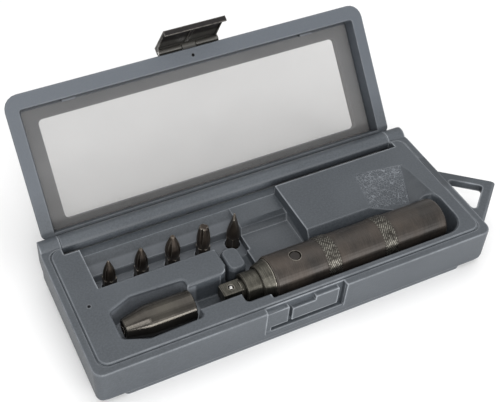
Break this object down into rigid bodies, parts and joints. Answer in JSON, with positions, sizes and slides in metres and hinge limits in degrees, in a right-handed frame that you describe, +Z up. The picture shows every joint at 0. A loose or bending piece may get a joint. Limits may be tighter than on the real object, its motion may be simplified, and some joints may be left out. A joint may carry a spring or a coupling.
{
  "type": "hand impact driver kit",
  "caption": "Hand impact driver that turns a hammer blow into a twist, with bit holder and driver bits, lying in a hinged moulded case whose lid has a clear window and a latch.",
  "frame": {"origin": "middle of the foot that the case stands on", "axes": "+X towards the handle loop, -Y towards the latch side of the case, +Z up"},
  "size_m": [0.2938, 0.1761, 0.1181],
  "materials": {
    "case_plastic": "blue-grey moulded plastic with a fine grain",
    "dark_steel": "blackened and oiled steel",
    "bit_steel": "phosphated steel",
    "bright_steel": "plain steel",
    "latch_metal": "dark pressed sheet metal",
    "window_clear": "thin clear plastic sheet",
    "seal_rubber": "black rubber"
  },
  "bodies": {
    "case": {"case_base": "case_plastic", "hinge_pin_left": "bright_steel", "hinge_pin_right": "bright_steel"},
    "lid": {"case_lid": "case_plastic", "window_sheet": "window_clear", "latch_pin": "bright_steel"},
    "latch": {"latch_clip": "latch_metal"},
    "driver": {"driver_body": "dark_steel", "cam_pin_upper": "dark_steel", "cam_pin_lower": "dark_steel", "front_bushing": "dark_steel", "nose_seal": "seal_rubber", "spring_seat": "bright_steel", "main_spring": "bright_steel"},
    "plunger": {"thrust_washer": "bright_steel"},
    "spindle": {"spindle": "dark_steel", "detent_spring": "bright_steel"},
    "ball": {"detent_ball": "bright_steel"},
    "holder": {"bit_holder": "dark_steel", "bit_magnet": "bright_steel"},
    "bit_1": {"bit_cross_small": "bit_steel"},
    "bit_2": {"bit_cross_medium": "bit_steel"},
    "bit_3": {"bit_cross_large": "bit_steel"},
    "bit_4": {"bit_cross_blunt": "bit_steel"},
    "bit_5": {"bit_slotted": "bit_steel"}
  },
  "joints": [
    {"name": "lid_hinge", "type": "hinge", "parent": "case", "child": "lid", "pos_m": [0, 0.0512, 0.026], "axis": [-1, 0, 0], "range_deg": [-130, 0]},
    {"name": "latch_pivot", "type": "hinge", "parent": "lid", "child": "latch", "pos_m": [0, 0.12106, 0.09479], "axis": [-1, 0, 0], "range_deg": [-18, 60]},
    {"name": "driver_lift", "type": "slide", "parent": "case", "child": "driver", "axis": [0, 0, 1], "range_m": [0, 0.04]},
    {"name": "spindle_plunge", "type": "slide", "parent": "driver", "child": "plunger", "axis": [1, 0, 0], "range_m": [0, 0.006], "stiffness_N_per_m": 4000, "springref_m": -0.004, "deforming": ["main_spring"]},
    {"name": "spindle_twist", "type": "hinge", "parent": "plunger", "child": "spindle", "pos_m": [0.00585, -0.0218, 0.022], "axis": [1, 0, 0], "range_deg": [0, 25]},
    {"name": "detent_press", "type": "slide", "parent": "spindle", "child": "ball", "axis": [0, 0, 1], "range_m": [-0.0008, 0], "stiffness_N_per_m": 500, "springref_m": 0.001, "deforming": ["detent_spring"]},
    {"name": "holder_lift", "type": "slide", "parent": "case", "child": "holder", "axis": [0, 0, 1], "range_m": [0, 0.04]},
    {"name": "bit_1_lift", "type": "slide", "parent": "case", "child": "bit_1", "axis": [0, 0, 1], "range_m": [0, 0.04]},
    {"name": "bit_2_lift", "type": "slide", "parent": "case", "child": "bit_2", "axis": [0, 0, 1], "range_m": [0, 0.04]},
    {"name": "bit_3_lift", "type": "slide", "parent": "case", "child": "bit_3", "axis": [0, 0, 1], "range_m": [0, 0.04]},
    {"name": "bit_4_lift", "type": "slide", "parent": "case", "child": "bit_4", "axis": [0, 0, 1], "range_m": [0, 0.04]},
    {"name": "bit_5_lift", "type": "slide", "parent": "case", "child": "bit_5", "axis": [0, 0, 1], "range_m": [0, 0.04]}
  ],
  "couplings": [
    {"joint": "spindle_twist", "follows": "spindle_plunge", "rad_per_m": 72.72}
  ]
}
